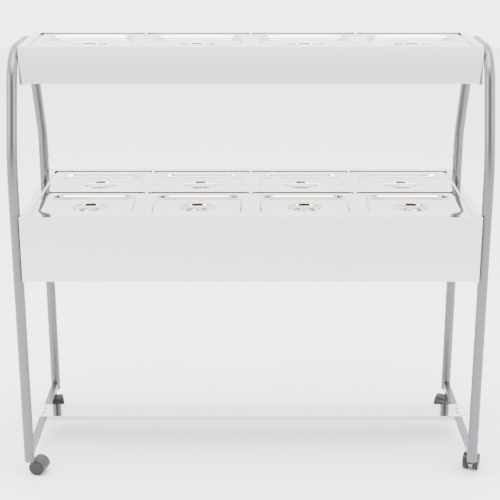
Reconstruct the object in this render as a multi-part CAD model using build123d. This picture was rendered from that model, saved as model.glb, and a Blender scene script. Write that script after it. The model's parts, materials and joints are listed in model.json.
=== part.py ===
# Two-tier serving cart: a double-row well below, a single-row well above, twelve
# half-size gastronorm pans with lids, carried by two bent-tube side frames on casters.
# Millimetres. +Z up, +Y to the back, origin on the floor under the middle of the cart.
from build123d import *
import math
import os

# ---- driving dimensions ----
overall_depth = 606  # front face of the lower tray to the back of the rear legs
tray_width = 1390  # both trays, over the end caps
sheet = 1.2  # trays and shelf
cap_sheet = 1.5  # end caps
side_rim = 25
cap_flange = 16  # front and back flanges of an end cap
cap_drop = 3  # the end caps hang this far below the floor of a tray

lower_depth = 600
lower_height = 205
lower_top = 878
lower_rim = 25
upper_depth = 340
upper_height = 112
upper_top = 1368
upper_rim = 32

pan_length = 325  # half-size gastronorm: 325 x 265
pan_width = 265
pan_depth = 100
pan_sheet = 1
pan_flange = 12
pan_corner = 35
pan_draft = 3
lid_margin = 2  # the pan's rim shows this much round the lid
lid_flange = 20
lid_corner = 45
lid_recess = 10
lid_slope = 38
dish_radius = 50
dish_depth = 16
dish_draft = 15
strap_length = 112
strap_width = 25
strap_thickness = 1.5

divider_width = 9
ledge_drop = 6  # the pans hang this far below the rims
ledge_width = 12

tube_radius = 16
tube_wall = 1.4
leg_end = 55  # open ends of the legs above the floor
front_leg_inset = 25  # leg centre behind the front face of the lower tray
splice_height = 955  # the hoop plugs into the rear leg here
spigot_length = 60
front_lean = (1033, 100.5)  # height of the lower corner, setback of the upper one
rear_lean = (1002, 156)
lean_radius = 500
top_bend_radius = 120
rear_bend_radius = 200

rail_size = 20
rail_wall = 1.5
rail_bottom = 64
shelf_depth = 97
shelf_lip = 15
shelf_setback = 32  # middle of the shelf behind the middle of the rails

bolt_radius = 3
bolt_length = 14
bolt_head = (5.8, 4)  # hexagon radius, height
screw_radius = 2
screw_head = (4.6, 2.5)
upper_bolts = (-50, 50)  # along the hoop, from the middle of the upper tray
lower_bolt_drop = 70  # below the top of the lower tray

caster_inset = 33  # stem from the leg centre, along the rail
caster_trail = 25
caster_width = 50
wheel_radius = 25
wheel_width = 17
stem_radius = 5
stem_collar = (9, -1.7)  # hexagon radius, height downwards
stem_nut = (8, 8)  # inside the rail
stem_depth = 26  # in the boss
axle_radius = 3
running_clearance = 0.05
boss_radius = 7.6
boss_top = 62
hood_thickness = 2.2
hood_gap = 1.2  # between tread and hood
web_width = 13
# which way each caster trails at rest, in degrees from +Y towards +X
caster_headings = {
    "front_left": 105,
    "front_right": 20,
    "rear_left": 162,
    "rear_right": 215,
}

# ---- positions worked out from them ----
front = -overall_depth / 2
half_width = tray_width / 2
tube_x = half_width + tube_radius
front_leg_y = front + front_leg_inset
rear_leg_y = overall_depth / 2 - tube_radius
hoop_height = upper_top - tube_radius
rail_top = rail_bottom + rail_size
pitch = pan_length + divider_width
pan_columns = [(column - 1.5) * pitch for column in range(4)]
divider_columns = [(column - 1) * pitch for column in range(3)]
lower_middle = front + lower_depth / 2
row_offset = (pan_width + divider_width) / 2
shelf_y = (front_leg_y + rear_leg_y) / 2 + shelf_setback
lower_bolt_height = lower_top - lower_bolt_drop

os.makedirs("parts", exist_ok=True)


def write(name, shape):
    export_step(shape, f"parts/{name}.step")


def block(x_range, y_range, z_range):
    # a box between two corners
    ranges = (x_range, y_range, z_range)
    size = [high - low for low, high in ranges]
    middle = [(high + low) / 2 for low, high in ranges]
    return Pos(*middle) * Box(*size)


def mirrored(shape):
    return mirror(shape, Plane.YZ)


def cut_corners(length, width, corner):
    return chamfer(Rectangle(length, width).vertices(), corner)


def hexagon(radius, height):
    return extrude(RegularPolygon(radius, 6), height)


def hex_screw(head, shank_radius, shank_length):
    # head up, its seat at the origin; self-tapping, so the shank bites its hole
    return hexagon(*head) + hexagon(shank_radius, -shank_length)


# ---- trays ----
def tray_wrap(depth, height, top, rim, middle):
    # front panel, floor and back folded from one sheet; each rim turns down to a
    # strip welded under it, the ledge that the pans hang on
    half = depth / 2 - cap_sheet
    lip = depth / 2 - rim
    roof = top - cap_sheet
    ledge = top - ledge_drop
    floor = top - height
    outline = Polyline(
        (0, floor),
        (half, floor),
        (half, roof),
        (lip, roof),
        (lip, ledge),
        (lip + sheet, ledge),
        (lip + sheet, roof - sheet),
        (half - sheet, roof - sheet),
        (half - sheet, floor + sheet),
        (0, floor + sheet),
        close=True,
    )
    section = make_face(outline)
    section = section + mirror(section, Plane.YZ)
    half_length = half_width - cap_sheet
    wrap = extrude(Plane.YZ * section, half_length, both=True)
    strip = block(
        (-half_length, half_length),
        (lip - ledge_width, lip + sheet),
        (ledge - sheet, ledge),
    )
    solids = [wrap, strip, mirror(strip, Plane.XZ)]
    return Compound(children=[Pos(0, middle, 0) * solid for solid in solids])


def end_cap(depth, height, top, rim, middle):
    # right-hand cap: side plate, front and back flanges, rim turned down to its ledge
    side = half_width
    lip = side - side_rim
    low = top - height - cap_drop
    ledge = top - ledge_drop
    outline = Polyline(
        (side, low),
        (side, top),
        (lip, top),
        (lip, ledge),
        (lip + cap_sheet, ledge),
        (lip + cap_sheet, top - cap_sheet),
        (side - cap_sheet, top - cap_sheet),
        (side - cap_sheet, low),
        close=True,
    )
    plate = extrude(Plane.XZ * make_face(outline), depth / 2, both=True)
    flange = block(
        (side - cap_flange, side), (-depth / 2, cap_sheet - depth / 2), (low, top)
    )
    plate += flange + mirror(flange, Plane.XZ)
    # the lip and its ledge stop short of those along the front and back
    opening = depth / 2 - rim - ledge_width
    corner = block(
        (lip, lip + cap_sheet),
        (opening, depth / 2 - cap_sheet),
        (ledge, top - cap_sheet),
    )
    plate -= corner
    plate -= mirror(corner, Plane.XZ)
    strip = block(
        (lip - ledge_width, lip + cap_sheet),
        (-opening, opening),
        (ledge - cap_sheet, ledge),
    )
    return Compound(children=[Pos(0, middle, 0) * solid for solid in (plate, strip)])


def divider(length, top):
    # inverted channel along Y, welded on a strip that carries the edges of the pans
    # on both sides and stops at the ledges it meets
    half = divider_width / 2
    roof = top - cap_sheet
    ledge = top - ledge_drop
    outline = Polyline(
        (0, roof),
        (half, roof),
        (half, ledge),
        (half - sheet, ledge),
        (half - sheet, roof - sheet),
        (0, roof - sheet),
        close=True,
    )
    section = make_face(outline)
    section = section + mirror(section, Plane.YZ)
    channel = extrude(Plane.XZ * section, length / 2, both=True)
    reach = half + ledge_width
    end = length / 2 - ledge_width
    return [channel, block((-reach, reach), (-end, end), (ledge - sheet, ledge))]


def placed(solids, columns, y):
    # a copy of the solids at each column
    return Compound(children=[Pos(x, y, 0) * solid for x in columns for solid in solids])


lower_bolts = [(front_leg_y, lower_bolt_height), (rear_leg_y, lower_bolt_height)]
hoop_bolts = [(y, hoop_height) for y in upper_bolts]

lower_sizes = (lower_depth, lower_height, lower_top, lower_rim, lower_middle)
write("lower_tray_wrap", tray_wrap(*lower_sizes))
lower_cap = end_cap(*lower_sizes)
write("lower_right_end_cap", lower_cap)
write("lower_left_end_cap", mirrored(lower_cap))

upper_sizes = (upper_depth, upper_height, upper_top, upper_rim, 0)
write("upper_tray_wrap", tray_wrap(*upper_sizes))
upper_cap = end_cap(*upper_sizes)
write("upper_right_end_cap", upper_cap)
write("upper_left_end_cap", mirrored(upper_cap))

lower_divider = divider(lower_depth - 2 * lower_rim, lower_top)
write("lower_cross_dividers", placed(lower_divider, divider_columns, lower_middle))
row_divider = [Rot(0, 0, 90) * solid for solid in divider(pan_length, lower_top)]
write("lower_row_divider", placed(row_divider, pan_columns, lower_middle))
upper_divider = divider(upper_depth - 2 * upper_rim, upper_top)
write("upper_cross_dividers", placed(upper_divider, divider_columns, 0))


# ---- pans and lids ----
def make_pan():
    # hung by its flange at z = 0; the tapered corners are flats
    length = pan_length - 2 * pan_flange
    width = pan_width - 2 * pan_flange
    depth = pan_depth - pan_sheet
    pan = extrude(cut_corners(pan_length, pan_width, 6), pan_sheet)
    outside = cut_corners(length, width, pan_corner / 2)
    pan += extrude(outside, -depth, taper=pan_draft)
    inside = offset(outside, -pan_sheet)
    return pan - Pos(0, 0, pan_sheet) * extrude(inside, -depth, taper=pan_draft)


def make_lid():
    # pressed sheet with a sunken panel and a round dish; a flat strap bridges the dish
    length = pan_length - 2 * lid_margin
    width = pan_width - 2 * lid_margin
    inner_length = length - 2 * lid_flange
    inner_width = width - 2 * lid_flange
    lid = extrude(cut_corners(length, width, 6), pan_sheet)
    lid += extrude(
        cut_corners(inner_length + 1, inner_width + 1, lid_corner / 2),
        -lid_recess,
        taper=lid_slope,
    )
    under_dish = RegularPolygon(dish_radius + 1.4, 8, major_radius=False)
    lid += Pos(0, 0, -lid_recess) * extrude(under_dish, -dish_depth, taper=dish_draft)
    panel = RectangleRounded(inner_length, inner_width, lid_corner)
    lid -= Pos(0, 0, pan_sheet) * extrude(panel, -lid_recess, taper=lid_slope)
    panel_height = pan_sheet - lid_recess
    lid -= Pos(0, 0, panel_height) * extrude(
        Circle(dish_radius), -dish_depth, taper=dish_draft
    )
    strap = Box(strap_length, strap_width, strap_thickness)
    strap = Pos(0, 0, panel_height + strap_thickness / 2) * strap
    # flange and drawn panel are two solids that meet where the sheet turns down
    above = Pos(0, 0, pan_sheet / 2) * Box(pan_length, pan_width, pan_sheet)
    return Compound(children=[lid & above, lid - above, strap])


pan = make_pan()
lid = make_lid()
rows = {
    "lower_front": (lower_middle - row_offset, lower_top),
    "lower_rear": (lower_middle + row_offset, lower_top),
    "upper": (0, upper_top),
}
for row, (y, top) in rows.items():
    for number, x in enumerate(pan_columns, start=1):
        pan_seat = top - ledge_drop
        write(f"{row}_pan_{number}", Pos(x, y, pan_seat) * pan)
        write(f"{row}_lid_{number}", Pos(x, y, pan_seat + pan_sheet) * lid)


# ---- side frames ----
def upright(radius, y, low, high):
    return Pos(tube_x, y, (low + high) / 2) * Cylinder(radius, high - low)


def side_hoop():
    # one tube: front leg, lean back, over the upper tray, down to the rear leg;
    # the straight leg is hollow, and the bent part is filled
    front_corner, front_setback = front_lean
    rear_corner, rear_setback = rear_lean
    centre_line = FilletPolyline(
        (tube_x, front_leg_y, leg_end),
        (tube_x, front_leg_y, front_corner),
        (tube_x, front_leg_y + front_setback, hoop_height),
        (tube_x, rear_leg_y - rear_setback, hoop_height),
        (tube_x, rear_leg_y, rear_corner),
        (tube_x, rear_leg_y, splice_height),
        radius=[lean_radius, top_bend_radius, top_bend_radius, rear_bend_radius],
    )
    start = Plane(centre_line @ 0, z_dir=centre_line % 0)
    tube = sweep(start * Circle(tube_radius), centre_line)
    bore = tube_radius - tube_wall
    lean = math.atan2(front_setback, hoop_height - front_corner)
    straight_end = front_corner - lean_radius * math.tan(lean / 2)
    tube -= upright(bore, front_leg_y, leg_end, straight_end)
    spigot = upright(bore, rear_leg_y, splice_height - spigot_length, splice_height)
    tube += spigot
    return tube


def rear_leg():
    leg = upright(tube_radius, rear_leg_y, leg_end, splice_height)
    return leg - upright(tube_radius - tube_wall, rear_leg_y, leg_end, splice_height)


def bottom_rail():
    # square tube, its ends coped to the round legs
    half = rail_size / 2
    hollow = half - rail_wall
    middle = rail_bottom + half
    ends = (front_leg_y, rear_leg_y)
    rail = block((tube_x - half, tube_x + half), ends, (rail_bottom, rail_top))
    rail -= block(
        (tube_x - hollow, tube_x + hollow), ends, (middle - hollow, middle + hollow)
    )
    for y in ends:
        rail -= upright(tube_radius, y, rail_bottom, rail_top)
    return rail


def splice_screw():
    # on the inner side of the rear leg, through its wall into the hoop's spigot
    seat = Pos(tube_x - tube_radius - 0.3, rear_leg_y, splice_height - spigot_length / 2)
    return seat * Rot(0, -90, 0) * hex_screw(screw_head, screw_radius, 8)


stem_places = [front_leg_y + caster_inset, rear_leg_y - caster_inset]
screw_places = [shelf_y - 16, shelf_y + 16]

hoop = side_hoop()
write("right_side_hoop", hoop)
write("left_side_hoop", mirrored(hoop))
write("right_rear_leg", rear_leg())
write("left_rear_leg", mirrored(rear_leg()))
write("right_bottom_rail", bottom_rail())
write("left_bottom_rail", mirrored(bottom_rail()))
write("splice_screws", Compound(children=[splice_screw(), mirrored(splice_screw())]))


# from inside the trays, through the end caps into the tubes
bolts = []
for y, z in lower_bolts + hoop_bolts:
    seat = Pos(half_width - cap_sheet, y, z) * Rot(0, -90, 0)
    bolts.append(seat * hex_screw(bolt_head, bolt_radius, bolt_length))
write("tray_bolts", Compound(children=bolts + [mirrored(bolt) for bolt in bolts]))


# ---- shelf ----
def undershelf():
    # channel laid across the rails; its lips hang between them
    half = shelf_depth / 2
    top = rail_top + sheet
    outline = Polyline(
        (-half, top - shelf_lip),
        (-half, top),
        (half, top),
        (half, top - shelf_lip),
        (half - sheet, top - shelf_lip),
        (half - sheet, top - sheet),
        (sheet - half, top - sheet),
        (sheet - half, top - shelf_lip),
        close=True,
    )
    reach = tube_x + rail_size / 2
    channel = Pos(0, shelf_y, 0) * extrude(
        Plane.YZ * make_face(outline), reach, both=True
    )
    over_rail = block(
        (tube_x - rail_size / 2 - 0.5, reach),
        (shelf_y - half, shelf_y + half),
        (top - shelf_lip, rail_top),
    )
    channel -= over_rail
    channel -= mirrored(over_rail)
    return channel


write("undershelf", undershelf())
shelf_screws = [
    Pos(tube_x, y, rail_top + sheet) * hex_screw(screw_head, screw_radius, 8)
    for y in screw_places
]
write(
    "undershelf_screws",
    Compound(children=shelf_screws + [mirrored(screw) for screw in shelf_screws]),
)


# ---- casters, each made with its stem at the origin and its trail along +X ----
def caster_stem():
    # stem with a collar under the rail and a nut inside it
    stem_low = boss_top - stem_depth
    collar_low = rail_bottom + stem_collar[1]
    stem = Pos(0, 0, (stem_low + collar_low) / 2) * Cylinder(
        stem_radius, collar_low - stem_low
    )
    stem += Pos(0, 0, rail_bottom) * hexagon(*stem_collar)
    stem += Pos(0, 0, rail_bottom) * hexagon(stem_radius, rail_wall)
    return stem + Pos(0, 0, rail_bottom + rail_wall) * hexagon(*stem_nut)


def caster_hood():
    # web between the wheels, rolled cover over them, boss round the stem
    axle = Pos(caster_trail, wheel_radius)
    inner = wheel_radius + hood_gap
    outer = inner + hood_thickness
    above = Pos(caster_trail + 12, wheel_radius + 22) * Rectangle(64, 50)
    cover = (axle * (Circle(outer) - Circle(inner))) & above
    web = (axle * Circle(inner + hood_thickness / 2)) & above
    hood = extrude(Plane.XZ * cover, caster_width / 2, both=True)
    hood += extrude(Plane.XZ * web, web_width / 2, both=True)
    boss_low = boss_top - stem_depth - hood_thickness
    hood += Pos(0, 0, (boss_low + boss_top) / 2) * Cylinder(
        boss_radius, boss_top - boss_low
    )
    socket_low = boss_top - stem_depth - 1
    hood -= Pos(0, 0, (socket_low + boss_top) / 2) * Cylinder(
        stem_radius + running_clearance, boss_top - socket_low
    )
    return hood - Pos(caster_trail, 0, wheel_radius) * Rot(90, 0, 0) * Cylinder(
        axle_radius + running_clearance, web_width
    )


def wheel_pair():
    # two wheels pressed on one axle
    gap = caster_width / 2 - wheel_width
    outline = Polyline(
        (0, 0),
        (axle_radius, 0),
        (axle_radius, gap),
        (wheel_radius, gap),
        (wheel_radius, gap + wheel_width),
        (0, gap + wheel_width),
        close=True,
    )
    half = revolve(Plane.XZ * make_face(outline), Axis.Z)
    pair = half + mirror(half, Plane.XY)
    return Pos(caster_trail, 0, wheel_radius) * Rot(90, 0, 0) * pair


stems = []
for corner, heading in caster_headings.items():
    side = -1 if "left" in corner else 1
    y = stem_places[0] if "front" in corner else stem_places[1]
    place = Pos(side * tube_x, y, 0)
    turn = Rot(0, 0, 90 - heading)
    stems.append(place * caster_stem())
    write(f"{corner}_caster_hood", place * turn * caster_hood())
    write(f"{corner}_wheels", place * turn * wheel_pair())
write("caster_stems", Compound(children=stems))
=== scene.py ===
import bpy
import bmesh
import json
import math
from mathutils import Matrix, Vector


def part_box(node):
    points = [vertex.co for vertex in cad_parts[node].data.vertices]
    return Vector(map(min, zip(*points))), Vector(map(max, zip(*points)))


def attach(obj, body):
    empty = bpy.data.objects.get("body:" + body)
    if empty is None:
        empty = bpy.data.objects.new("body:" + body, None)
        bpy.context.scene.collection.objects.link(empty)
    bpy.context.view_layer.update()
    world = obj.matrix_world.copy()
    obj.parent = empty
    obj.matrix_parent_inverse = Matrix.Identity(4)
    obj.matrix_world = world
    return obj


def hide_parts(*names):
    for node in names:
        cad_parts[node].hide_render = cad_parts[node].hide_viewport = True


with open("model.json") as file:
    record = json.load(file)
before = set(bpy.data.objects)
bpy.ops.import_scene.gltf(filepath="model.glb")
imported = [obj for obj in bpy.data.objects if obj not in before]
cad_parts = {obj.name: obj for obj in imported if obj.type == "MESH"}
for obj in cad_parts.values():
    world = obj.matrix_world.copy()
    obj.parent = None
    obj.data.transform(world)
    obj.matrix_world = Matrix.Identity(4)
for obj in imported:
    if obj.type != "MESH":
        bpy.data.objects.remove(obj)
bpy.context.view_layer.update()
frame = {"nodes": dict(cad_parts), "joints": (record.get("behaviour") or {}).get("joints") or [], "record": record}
nodes = frame["nodes"]
mm = 0.001
print("frame loaded:", len(nodes), "nodes")


# ---- colour and material helpers ----
def fromHex(code):
    # an sRGB hex value as linear colour
    values = [int(code[i:i + 2], 16) / 255 for i in (0, 2, 4)]
    linear = [v / 12.92 if v <= 0.04045 else ((v + 0.055) / 1.055) ** 2.4 for v in values]
    return (*linear, 1)


def addNode(tree, kind, settings=None, links=None):
    # links: input name -> (node, output name)
    node = tree.nodes.new(kind)
    for key, value in (settings or {}).items():
        if key in node.inputs:
            node.inputs[key].default_value = value
        else:
            setattr(node, key, value)
    for key, (source, output) in (links or {}).items():
        tree.links.new(source.outputs[output], node.inputs[key])
    return node


def newMaterial(name):
    material = bpy.data.materials.new(name)
    material.use_nodes = True
    tree = material.node_tree
    tree.nodes.clear()
    return material, tree


def closeMaterial(tree, shader):
    output = addNode(tree, "ShaderNodeOutputMaterial")
    tree.links.new(shader.outputs["BSDF"], output.inputs["Surface"])


def makePolishedStainless():
    # 304 stainless sheet, mirror polished: the sheet is never quite flat, so reflections swim a little
    settings = {"colour": "CDCBC7", "roughness": (0.055, 0.10), "wave": 180 * mm, "waveHeight": 0.05 * mm}
    material, tree = newMaterial("polishedStainless")
    place = addNode(tree, "ShaderNodeTexCoord")
    waves = addNode(tree, "ShaderNodeTexNoise", {"Scale": 1 / settings["wave"], "Detail": 1.0},
                    {"Vector": (place, "Object")})
    smears = addNode(tree, "ShaderNodeTexNoise", {"Scale": 1 / (60 * mm), "Detail": 3.0},
                     {"Vector": (place, "Object")})
    rough = addNode(tree, "ShaderNodeMapRange",
                    {"To Min": settings["roughness"][0], "To Max": settings["roughness"][1]},
                    {"Value": (smears, "Fac")})
    bump = addNode(tree, "ShaderNodeBump", {"Distance": settings["waveHeight"], "Strength": 0.5},
                   {"Height": (waves, "Fac")})
    shader = addNode(tree, "ShaderNodeBsdfPrincipled",
                     {"Base Color": fromHex(settings["colour"]), "Metallic": 1.0},
                     {"Roughness": (rough, "Result"), "Normal": (bump, "Normal")})
    closeMaterial(tree, shader)
    return material


def makeSilverTube():
    # steel tube under silver lacquer: a soft, grey sheen with a fine flake
    settings = {"colour": "676A6F", "flake": 0.9 * mm}
    material, tree = newMaterial("silverLacqueredTube")
    place = addNode(tree, "ShaderNodeTexCoord")
    flake = addNode(tree, "ShaderNodeTexNoise", {"Scale": 1 / settings["flake"], "Detail": 2.0},
                    {"Vector": (place, "Object")})
    rough = addNode(tree, "ShaderNodeMapRange", {"To Min": 0.30, "To Max": 0.40}, {"Value": (flake, "Fac")})
    bump = addNode(tree, "ShaderNodeBump", {"Distance": 0.02 * mm, "Strength": 0.3}, {"Height": (flake, "Fac")})
    shader = addNode(tree, "ShaderNodeBsdfPrincipled",
                     {"Base Color": fromHex(settings["colour"]), "Metallic": 0.85},
                     {"Roughness": (rough, "Result"), "Normal": (bump, "Normal")})
    closeMaterial(tree, shader)
    return material


def makeZincSteel():
    # zinc-plated steel fasteners: slightly clouded plating
    material, tree = newMaterial("zincPlatedSteel")
    place = addNode(tree, "ShaderNodeTexCoord")
    clouds = addNode(tree, "ShaderNodeTexNoise", {"Scale": 1 / (4 * mm), "Detail": 3.0},
                     {"Vector": (place, "Object")})
    rough = addNode(tree, "ShaderNodeMapRange", {"To Min": 0.22, "To Max": 0.42}, {"Value": (clouds, "Fac")})
    shader = addNode(tree, "ShaderNodeBsdfPrincipled",
                     {"Base Color": fromHex("C4C5C3"), "Metallic": 1.0}, {"Roughness": (rough, "Result")})
    closeMaterial(tree, shader)
    return material


def makeNylon(name, colour, roughness, grain):
    # moulded black nylon, with the fine grain of a spark-eroded mould
    material, tree = newMaterial(name)
    place = addNode(tree, "ShaderNodeTexCoord")
    spots = addNode(tree, "ShaderNodeTexNoise", {"Scale": 1 / grain, "Detail": 2.0},
                    {"Vector": (place, "Object")})
    rough = addNode(tree, "ShaderNodeMapRange",
                    {"To Min": roughness - 0.06, "To Max": roughness + 0.06}, {"Value": (spots, "Fac")})
    bump = addNode(tree, "ShaderNodeBump", {"Distance": 0.03 * mm, "Strength": 0.4}, {"Height": (spots, "Fac")})
    shader = addNode(tree, "ShaderNodeBsdfPrincipled", {"Base Color": fromHex(colour)},
                     {"Roughness": (rough, "Result"), "Normal": (bump, "Normal")})
    closeMaterial(tree, shader)
    return material


polished = makePolishedStainless()
silverTube = makeSilverTube()
zincSteel = makeZincSteel()
hoodNylon = makeNylon("mouldedBlackNylon", "0D0D0E", 0.38, 0.8 * mm)
treadNylon = makeNylon("blackTreadNylon", "121213", 0.52, 1.2 * mm)
slotMaterials = {
    "polished_stainless": polished,
    "frame_tube": silverTube,
    "zinc_steel": zincSteel,
    "caster_plastic": hoodNylon,
    "wheel_tread": treadNylon,
}

# carried-over CAD nodes take the material of their slot
for part in frame["record"]["subparts"]:
    node = nodes[part["node"]]
    node.data.materials.clear()
    node.data.materials.append(slotMaterials[part["material_slot"]])
print("materials made")


# ---- stage, light and camera ----
def makeFloor():
    # a wide pale sheet
    size = {"width": 24, "front": -9, "back": 9}
    bpy.ops.object.select_all(action="DESELECT")
    bpy.ops.mesh.primitive_plane_add(size=1, location=(0, (size["front"] + size["back"]) / 2, 0))
    floor = bpy.context.object
    floor.name = "floor"
    bpy.ops.object.mode_set(mode="EDIT")
    bpy.ops.transform.resize(value=(size["width"], size["back"] - size["front"], 1))
    bpy.ops.object.mode_set(mode="OBJECT")
    bpy.ops.object.transform_apply()
    material, tree = newMaterial("paleFloor")
    place = addNode(tree, "ShaderNodeTexCoord")
    fibres = addNode(tree, "ShaderNodeTexNoise", {"Scale": 2.0, "Detail": 2.0}, {"Vector": (place, "Object")})
    rough = addNode(tree, "ShaderNodeMapRange", {"To Min": 0.85, "To Max": 0.95}, {"Value": (fibres, "Fac")})
    shader = addNode(tree, "ShaderNodeBsdfPrincipled", {"Base Color": fromHex("F7F7F6")},
                     {"Roughness": (rough, "Result")})
    closeMaterial(tree, shader)
    floor.data.materials.append(material)


def makeWorld():
    # white studio, darker and warmer low in front, where the camera stands
    dark = {"colour": "33291F", "starts": -0.15, "full": -0.6, "low": 0.08, "high": 0.62, "ends": 0.9}
    light = {"colour": "FFFFFF", "strength": 4.6}
    world = bpy.data.worlds.new("studio")
    bpy.context.scene.world = world
    world.use_nodes = True
    tree = world.node_tree
    tree.nodes.clear()
    place = addNode(tree, "ShaderNodeTexCoord")
    parts = addNode(tree, "ShaderNodeSeparateXYZ", None, {"Vector": (place, "Generated")})
    ahead = addNode(tree, "ShaderNodeMapRange",
                    {"From Min": dark["starts"], "From Max": dark["full"], "To Min": 0.0, "To Max": 1.0,
                     "clamp": True},
                    {"Value": (parts, "Y")})
    height = addNode(tree, "ShaderNodeValToRGB", None, {"Fac": (parts, "Z")})
    ramp = height.color_ramp
    ramp.elements[0].position = 0.0
    ramp.elements[0].color = (0, 0, 0, 1)
    ramp.elements[1].position = dark["ends"]
    ramp.elements[1].color = (0, 0, 0, 1)
    for position in (dark["low"], dark["high"]):
        ramp.elements.new(position).color = (1, 1, 1, 1)
    both = addNode(tree, "ShaderNodeMath", {"operation": "MULTIPLY"}, {0: (ahead, "Result")})
    tree.links.new(height.outputs["Color"], both.inputs[1])
    mix = addNode(tree, "ShaderNodeMix", {"data_type": "RGBA"}, {0: (both, "Value")})
    # by number: inputs 6 and 7 are the node's two colours, output 2 is their mix
    mix.inputs[6].default_value = fromHex(light["colour"])
    mix.inputs[7].default_value = fromHex(dark["colour"])
    glow = addNode(tree, "ShaderNodeBackground", {"Strength": light["strength"]})
    tree.links.new(mix.outputs[2], glow.inputs["Color"])
    output = addNode(tree, "ShaderNodeOutputWorld")
    tree.links.new(glow.outputs["Background"], output.inputs["Surface"])


def makeLights():
    lamps = {
        "overheadSoftbox": {"place": (0, -0.4, 4.2), "size": 3.0, "power": 260, "aim": (0, 0, 0.6)},
        "leftSoftbox": {"place": (-3.4, -2.4, 2.6), "size": 1.8, "power": 150, "aim": (0, 0, 0.8)},
        "rightSoftbox": {"place": (3.4, -2.4, 2.6), "size": 1.8, "power": 110, "aim": (0, 0, 0.8)},
    }
    for name, lamp in lamps.items():
        bpy.ops.object.light_add(type="AREA", location=lamp["place"])
        light = bpy.context.object
        light.name = name
        light.data.energy = lamp["power"]
        light.data.size = lamp["size"]
        aim = Vector(lamp["aim"]) - Vector(lamp["place"])
        light.rotation_euler = aim.to_track_quat("-Z", "Y").to_euler()


def makeCamera():
    lens = {"place": (0, -3.858, 1.9155), "pitch": 17.79, "focal": 89.03, "shift": -0.0016}
    bpy.ops.object.camera_add(location=lens["place"], rotation=(math.radians(90 - lens["pitch"]), 0, 0))
    camera = bpy.context.object
    camera.data.lens = lens["focal"]
    camera.data.sensor_width = 36
    camera.data.shift_x = lens["shift"]
    bpy.context.scene.camera = camera


makeFloor()
makeWorld()
makeLights()
makeCamera()
print("stage, light and camera set")


# ---- modelling helpers ----
def startPiece(name):
    # an empty mesh, open for editing
    bpy.ops.object.select_all(action="DESELECT")
    bpy.ops.mesh.primitive_plane_add(size=1)
    piece = bpy.context.object
    piece.name = name
    bpy.ops.object.mode_set(mode="EDIT")
    bpy.ops.mesh.delete(type="VERT")
    return piece


def pick(piece, kind, test):
    # selects the vertices, edges or faces whose middle passes the test
    bpy.ops.mesh.select_mode(type={"verts": "VERT", "edges": "EDGE", "faces": "FACE"}[kind])
    bpy.ops.mesh.select_all(action="DESELECT")
    mesh = bmesh.from_edit_mesh(piece.data)
    for item in getattr(mesh, kind):
        corners = [item] if kind == "verts" else list(item.verts)
        middle = sum((corner.co for corner in corners), Vector()) / len(corners)
        if test(item, middle):
            item.select_set(True)
    mesh.select_flush_mode()
    bmesh.update_edit_mesh(piece.data)


def loopAt(height, *, within=None, outside=None):
    # test for open or folded edges that lie at one height, inside or outside of a half size
    def test(edge, middle):
        flat = all(abs(corner.co.z - height) < 1e-5 for corner in edge.verts)
        if edge.is_manifold and edge.calc_face_angle(0) < 0.1:
            return False
        near = max(abs(middle.x) / within[0], abs(middle.y) / within[1]) < 1 if within else True
        far = max(abs(middle.x) / outside[0], abs(middle.y) / outside[1]) > 1 if outside else True
        return flat and near and far
    return test


def addRoundedLoop(length, width, corner, height, segments=11):
    # rounded rectangle of 4 x (segments + 1) points, selected, without a face
    bpy.ops.mesh.select_all(action="DESELECT")
    bpy.ops.mesh.primitive_plane_add(size=1, location=(0, 0, height))
    bpy.ops.transform.resize(value=(length, width, 1), center_override=(0, 0, height))
    bpy.ops.mesh.bevel(offset=corner, segments=segments, affect="VERTICES")
    bpy.ops.mesh.delete(type="ONLY_FACE")


def sinkLoop(piece, drop, scale, height):
    # extrudes the selected loop down by drop and scales it about the middle
    bpy.ops.mesh.extrude_edges_move(TRANSFORM_OT_translate={"value": (0, 0, -drop)})
    bpy.ops.transform.resize(value=(scale[0], scale[1], 1), center_override=(0, 0, height - drop))


def useModifier(piece, kind, **settings):
    modifier = piece.modifiers.new(kind.lower(), kind)
    for key, value in settings.items():
        setattr(modifier, key, value)
    bpy.context.view_layer.objects.active = piece
    bpy.ops.object.modifier_apply(modifier=modifier.name)


def closeEdit(piece, upAt=None):
    # merges what meets and turns all faces out, or so that those at one height look up
    bpy.ops.mesh.select_all(action="SELECT")
    bpy.ops.mesh.remove_doubles(threshold=0.00002)
    bpy.ops.mesh.normals_make_consistent(inside=False)
    if upAt is not None:
        faces = bmesh.from_edit_mesh(piece.data).faces
        level = [face for face in faces if abs(face.calc_center_median().z - upAt) < 1e-5]
        if sum(face.normal.z for face in level) < 0:
            bpy.ops.mesh.flip_normals()
    bpy.ops.object.mode_set(mode="OBJECT")


def makeActive(piece):
    bpy.ops.object.select_all(action="DESELECT")
    piece.select_set(True)
    bpy.context.view_layer.objects.active = piece


def smooth(piece, angle=35):
    makeActive(piece)
    bpy.ops.object.shade_smooth_by_angle(angle=math.radians(angle))


def dress(piece, material, slot, body, *replaced):
    # material, slot (not used), body and the CAD nodes that the piece stands for
    piece.data.materials.clear()
    piece.data.materials.append(material)
    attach(piece, body)
    if replaced:
        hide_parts(*replaced)


def copyPiece(piece, name, place):
    twin = piece.copy()
    twin.data = piece.data.copy()
    twin.name = name
    bpy.context.collection.objects.link(twin)
    twin.data.transform(Matrix.Translation(place))
    return twin


def joinInto(piece, others):
    makeActive(piece)
    for other in others:
        other.select_set(True)
    bpy.ops.object.join()


# ---- lids ----
flangeTop = 1 * mm  # lids and pans are modelled with the underside of the flange at zero

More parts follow.
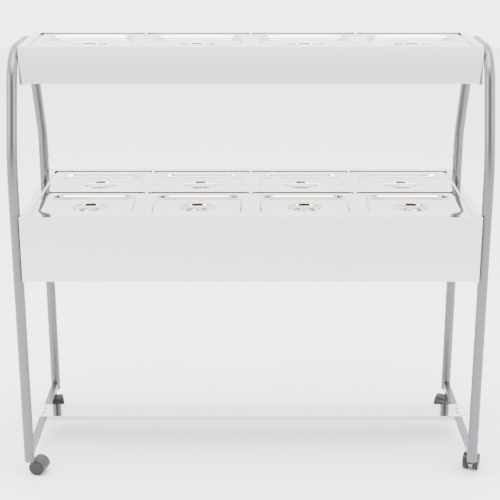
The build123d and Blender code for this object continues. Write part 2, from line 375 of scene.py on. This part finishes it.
lidSize = {
    "flange": 20 * mm, "edgeCorner": 14 * mm, "recessCorner": 45 * mm, "recess": 10 * mm, "slope": 38,
    "dishRadius": 50 * mm, "dishDepth": 16 * mm, "dishSlope": 15, "sheet": 0.8 * mm,
    "strap": (112 * mm, 25 * mm, 1.5 * mm), "strapCorner": 6 * mm, "strapEdge": 0.4 * mm,
}
# radius and segments of each fold that the press leaves
lidFolds = {"flange": (3 * mm, 4), "panel": (4 * mm, 5), "dishRim": (3.5 * mm, 5), "dishFloor": (6 * mm, 6)}


def makeLid(length, width):
    # pressed sheet, its top face modelled first: flange, sunken panel and round dish
    size = lidSize
    top = flangeTop
    panelHeight = top - size["recess"]
    dishFloor = panelHeight - size["dishDepth"]
    inner = (length - 2 * size["flange"], width - 2 * size["flange"])
    draw = size["recess"] * math.tan(math.radians(size["slope"])) * 2
    dishDraw = size["dishDepth"] * math.tan(math.radians(size["dishSlope"]))
    lid = startPiece("lid")
    addRoundedLoop(*inner, size["recessCorner"], top)
    pick(lid, "edges", loopAt(top))
    sinkLoop(lid, size["recess"], (1 - draw / inner[0], 1 - draw / inner[1]), top)
    bpy.ops.mesh.select_all(action="DESELECT")
    bpy.ops.mesh.primitive_circle_add(vertices=48, radius=size["dishRadius"], location=(0, 0, panelHeight))
    pick(lid, "edges", loopAt(panelHeight))
    bpy.ops.mesh.fill(use_beauty=True)
    dishHalf = (size["dishRadius"] * 1.02,) * 2
    pick(lid, "edges", loopAt(panelHeight, within=dishHalf))
    dishScale = 1 - dishDraw / size["dishRadius"]
    sinkLoop(lid, size["dishDepth"], (dishScale, dishScale), panelHeight)
    bpy.ops.mesh.edge_face_add()
    addRoundedLoop(length, width, size["edgeCorner"], top)
    pick(lid, "edges", loopAt(top))
    bpy.ops.mesh.fill(use_beauty=True)
    innerHalf = (inner[0] / 2 + 1 * mm, inner[1] / 2 + 1 * mm)
    folds = {
        "flange": loopAt(top, within=innerHalf),
        "panel": loopAt(panelHeight, outside=dishHalf),
        "dishRim": loopAt(panelHeight, within=dishHalf),
        "dishFloor": loopAt(dishFloor),
    }
    for fold, test in folds.items():
        offset, segments = lidFolds[fold]
        pick(lid, "edges", test)
        bpy.ops.mesh.bevel(offset=offset, segments=segments, affect="EDGES")
    closeEdit(lid, top)
    useModifier(lid, "SOLIDIFY", thickness=size["sheet"], offset=-1)
    strap = startPiece("strap")
    bpy.ops.mesh.primitive_cube_add(size=1)
    bpy.ops.transform.resize(value=size["strap"], center_override=(0, 0, 0))
    pick(strap, "edges", lambda edge, middle: abs(edge.verts[0].co.z - edge.verts[1].co.z) > 1e-5)
    bpy.ops.mesh.bevel(offset=size["strapCorner"], segments=5, affect="EDGES")
    pick(strap, "edges", lambda edge, middle: abs(edge.verts[0].co.z - edge.verts[1].co.z) < 1e-6
         and abs(middle.z) > size["strap"][2] * 0.49)
    bpy.ops.mesh.bevel(offset=size["strapEdge"], segments=2, affect="EDGES")
    bpy.ops.mesh.select_all(action="SELECT")
    bpy.ops.transform.translate(value=(0, 0, panelHeight + size["strap"][2] / 2))
    closeEdit(strap)
    joinInto(lid, [strap])
    smooth(lid)
    return lid


# ---- pans ----
panSize = {
    "flange": 12 * mm, "edgeCorner": 16 * mm, "corner": 35 * mm, "depth": 100 * mm, "draft": 3,
    "shoulder": 14 * mm, "shoulderDraw": 0.5 * mm, "step": 2 * mm, "stepHeight": 2 * mm, "rimFold": 2.5 * mm,
    "bottomFold": 14 * mm, "sheet": 0.8 * mm, "clear": 2 * mm,  # clear: inside the CAD pan's sides and floor
}


def makePan(length, width):
    # deep-drawn pan, its inside modelled first: flange, stacking shoulder, drafted walls
    size = panSize
    top = flangeTop
    inner = [length - 2 * size["flange"] - size["clear"], width - 2 * size["flange"] - size["clear"]]
    floor = -(size["depth"] - size["clear"])
    pan = startPiece("pan")
    addRoundedLoop(*inner, size["corner"], top)
    pick(pan, "edges", loopAt(top))
    height = top
    walls = [(size["shoulder"], size["shoulderDraw"]), (size["stepHeight"], size["step"] * 2),
             (height - floor - size["shoulder"] - size["stepHeight"], 0)]
    for drop, draw in walls:
        draw = draw or 2 * drop * math.tan(math.radians(size["draft"] * 0.8))
        sinkLoop(pan, drop, (1 - draw / inner[0], 1 - draw / inner[1]), height)
        inner = [inner[0] - draw, inner[1] - draw]
        height -= drop
    bpy.ops.mesh.edge_face_add()
    addRoundedLoop(length, width, size["edgeCorner"], top)
    pick(pan, "edges", loopAt(top))
    bpy.ops.mesh.fill(use_beauty=True)
    innerHalf = (length / 2 - size["flange"], width / 2 - size["flange"])
    for test, offset, segments in ((loopAt(top, within=innerHalf), size["rimFold"], 4),
                                   (loopAt(height), size["bottomFold"], 7)):
        pick(pan, "edges", test)
        bpy.ops.mesh.bevel(offset=offset, segments=segments, affect="EDGES")
    closeEdit(pan, top)
    useModifier(pan, "SOLIDIFY", thickness=size["sheet"], offset=-1)
    smooth(pan)
    return pan


def placeLidsAndPans():
    lidLow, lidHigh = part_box("upper_lid_1")
    panLow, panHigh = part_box("upper_pan_1")
    lid = makeLid(lidHigh[0] - lidLow[0], lidHigh[1] - lidLow[1])
    pan = makePan(panHigh[0] - panLow[0], panHigh[1] - panLow[1])
    for row in ("lower_front", "lower_rear", "upper"):
        for number in range(1, 5):
            for name, model in ((f"{row}_lid_{number}", lid), (f"{row}_pan_{number}", pan)):
                low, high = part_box(name)
                place = ((low[0] + high[0]) / 2, (low[1] + high[1]) / 2, high[2] - flangeTop)
                twin = copyPiece(model, name + "_pressed", place)
                dress(twin, polished, "polished_stainless", name, name)
    for model in (lid, pan):
        bpy.data.objects.remove(model)
    print("lids and pans made")


placeLidsAndPans()


# ---- folded sheets, rails and mouldings ----
bodies = {}
for body, members in frame["record"]["behaviour"]["bodies"].items():
    bodies.update({member: body for member in members})
slots = {part["node"]: part["material_slot"] for part in frame["record"]["subparts"]}


def roundEdges(name, width, segments=2):
    # the node's shape with the edges round, as the folder, the saw or the mould leaves them
    piece = bpy.data.objects.new(name + "_rounded", nodes[name].data.copy())
    bpy.context.collection.objects.link(piece)
    makeActive(piece)
    bpy.ops.object.mode_set(mode="EDIT")
    bpy.ops.mesh.select_all(action="SELECT")
    bpy.ops.mesh.remove_doubles(threshold=0.00001)
    bpy.ops.mesh.dissolve_limited(angle_limit=math.radians(2))
    bpy.ops.object.mode_set(mode="OBJECT")
    useModifier(piece, "BEVEL", width=width, segments=segments, limit_method="ANGLE",
                angle_limit=math.radians(35))
    smooth(piece)
    useModifier(piece, "WEIGHTED_NORMAL", weight=100, keep_sharp=True)
    dress(piece, slotMaterials[slots[name]], slots[name], bodies.get(name, "cart"), name)


roundings = {
    "tray_wrap": 0.5 * mm, "end_cap": 0.6 * mm, "undershelf": 0.5 * mm, "bottom_rail": 0.6 * mm,
    "caster_hood": 0.9 * mm, "wheels": 1.6 * mm,
}
for name in list(nodes):
    for ending, width in roundings.items():
        if name.endswith(ending):
            roundEdges(name, width)
print("sheets, rails and mouldings rounded")


# ---- brake pedal ----
pedalSize = {
    "fromStem": 51 * mm, "height": 45 * mm, "length": 18 * mm, "width": 17 * mm, "thickness": 3.2 * mm,
    "tipRise": 3 * mm, "tipWidth": 0.8, "edge": 0.8 * mm,
}


def makeBrakePedal():
    # nylon lever at the trailing end of the front right caster; pressed down, it locks the wheels
    size = pedalSize
    joints = {joint["name"]: joint for joint in frame["joints"]}
    stem = Vector(joints["front_right_caster_swivel"]["pos_m"])
    trail = Vector(joints["front_right_wheel_spin"]["pos_m"]) - stem
    pedal = startPiece("brakePedal")
    bpy.ops.mesh.primitive_cube_add(size=1)
    bpy.ops.transform.resize(value=(size["length"], size["width"], size["thickness"]))
    pick(pedal, "faces", lambda face, middle: face.normal.x > 0.9)
    bpy.ops.transform.translate(value=(0, 0, size["tipRise"]))
    bpy.ops.transform.resize(value=(1, size["tipWidth"], 1))
    bpy.ops.mesh.select_all(action="SELECT")
    bpy.ops.mesh.bevel(offset=size["edge"], segments=3, affect="EDGES")
    closeEdit(pedal)
    turn = Matrix.Rotation(math.atan2(trail.y, trail.x), 4, "Z")
    place = Vector((stem.x, stem.y, size["height"])) + turn @ Vector((size["fromStem"], 0, 0))
    pedal.data.transform(Matrix.Translation(place) @ turn)
    smooth(pedal)
    dress(pedal, hoodNylon, "caster_plastic", "front_right_swivel")
    print("brake pedal made")


makeBrakePedal()
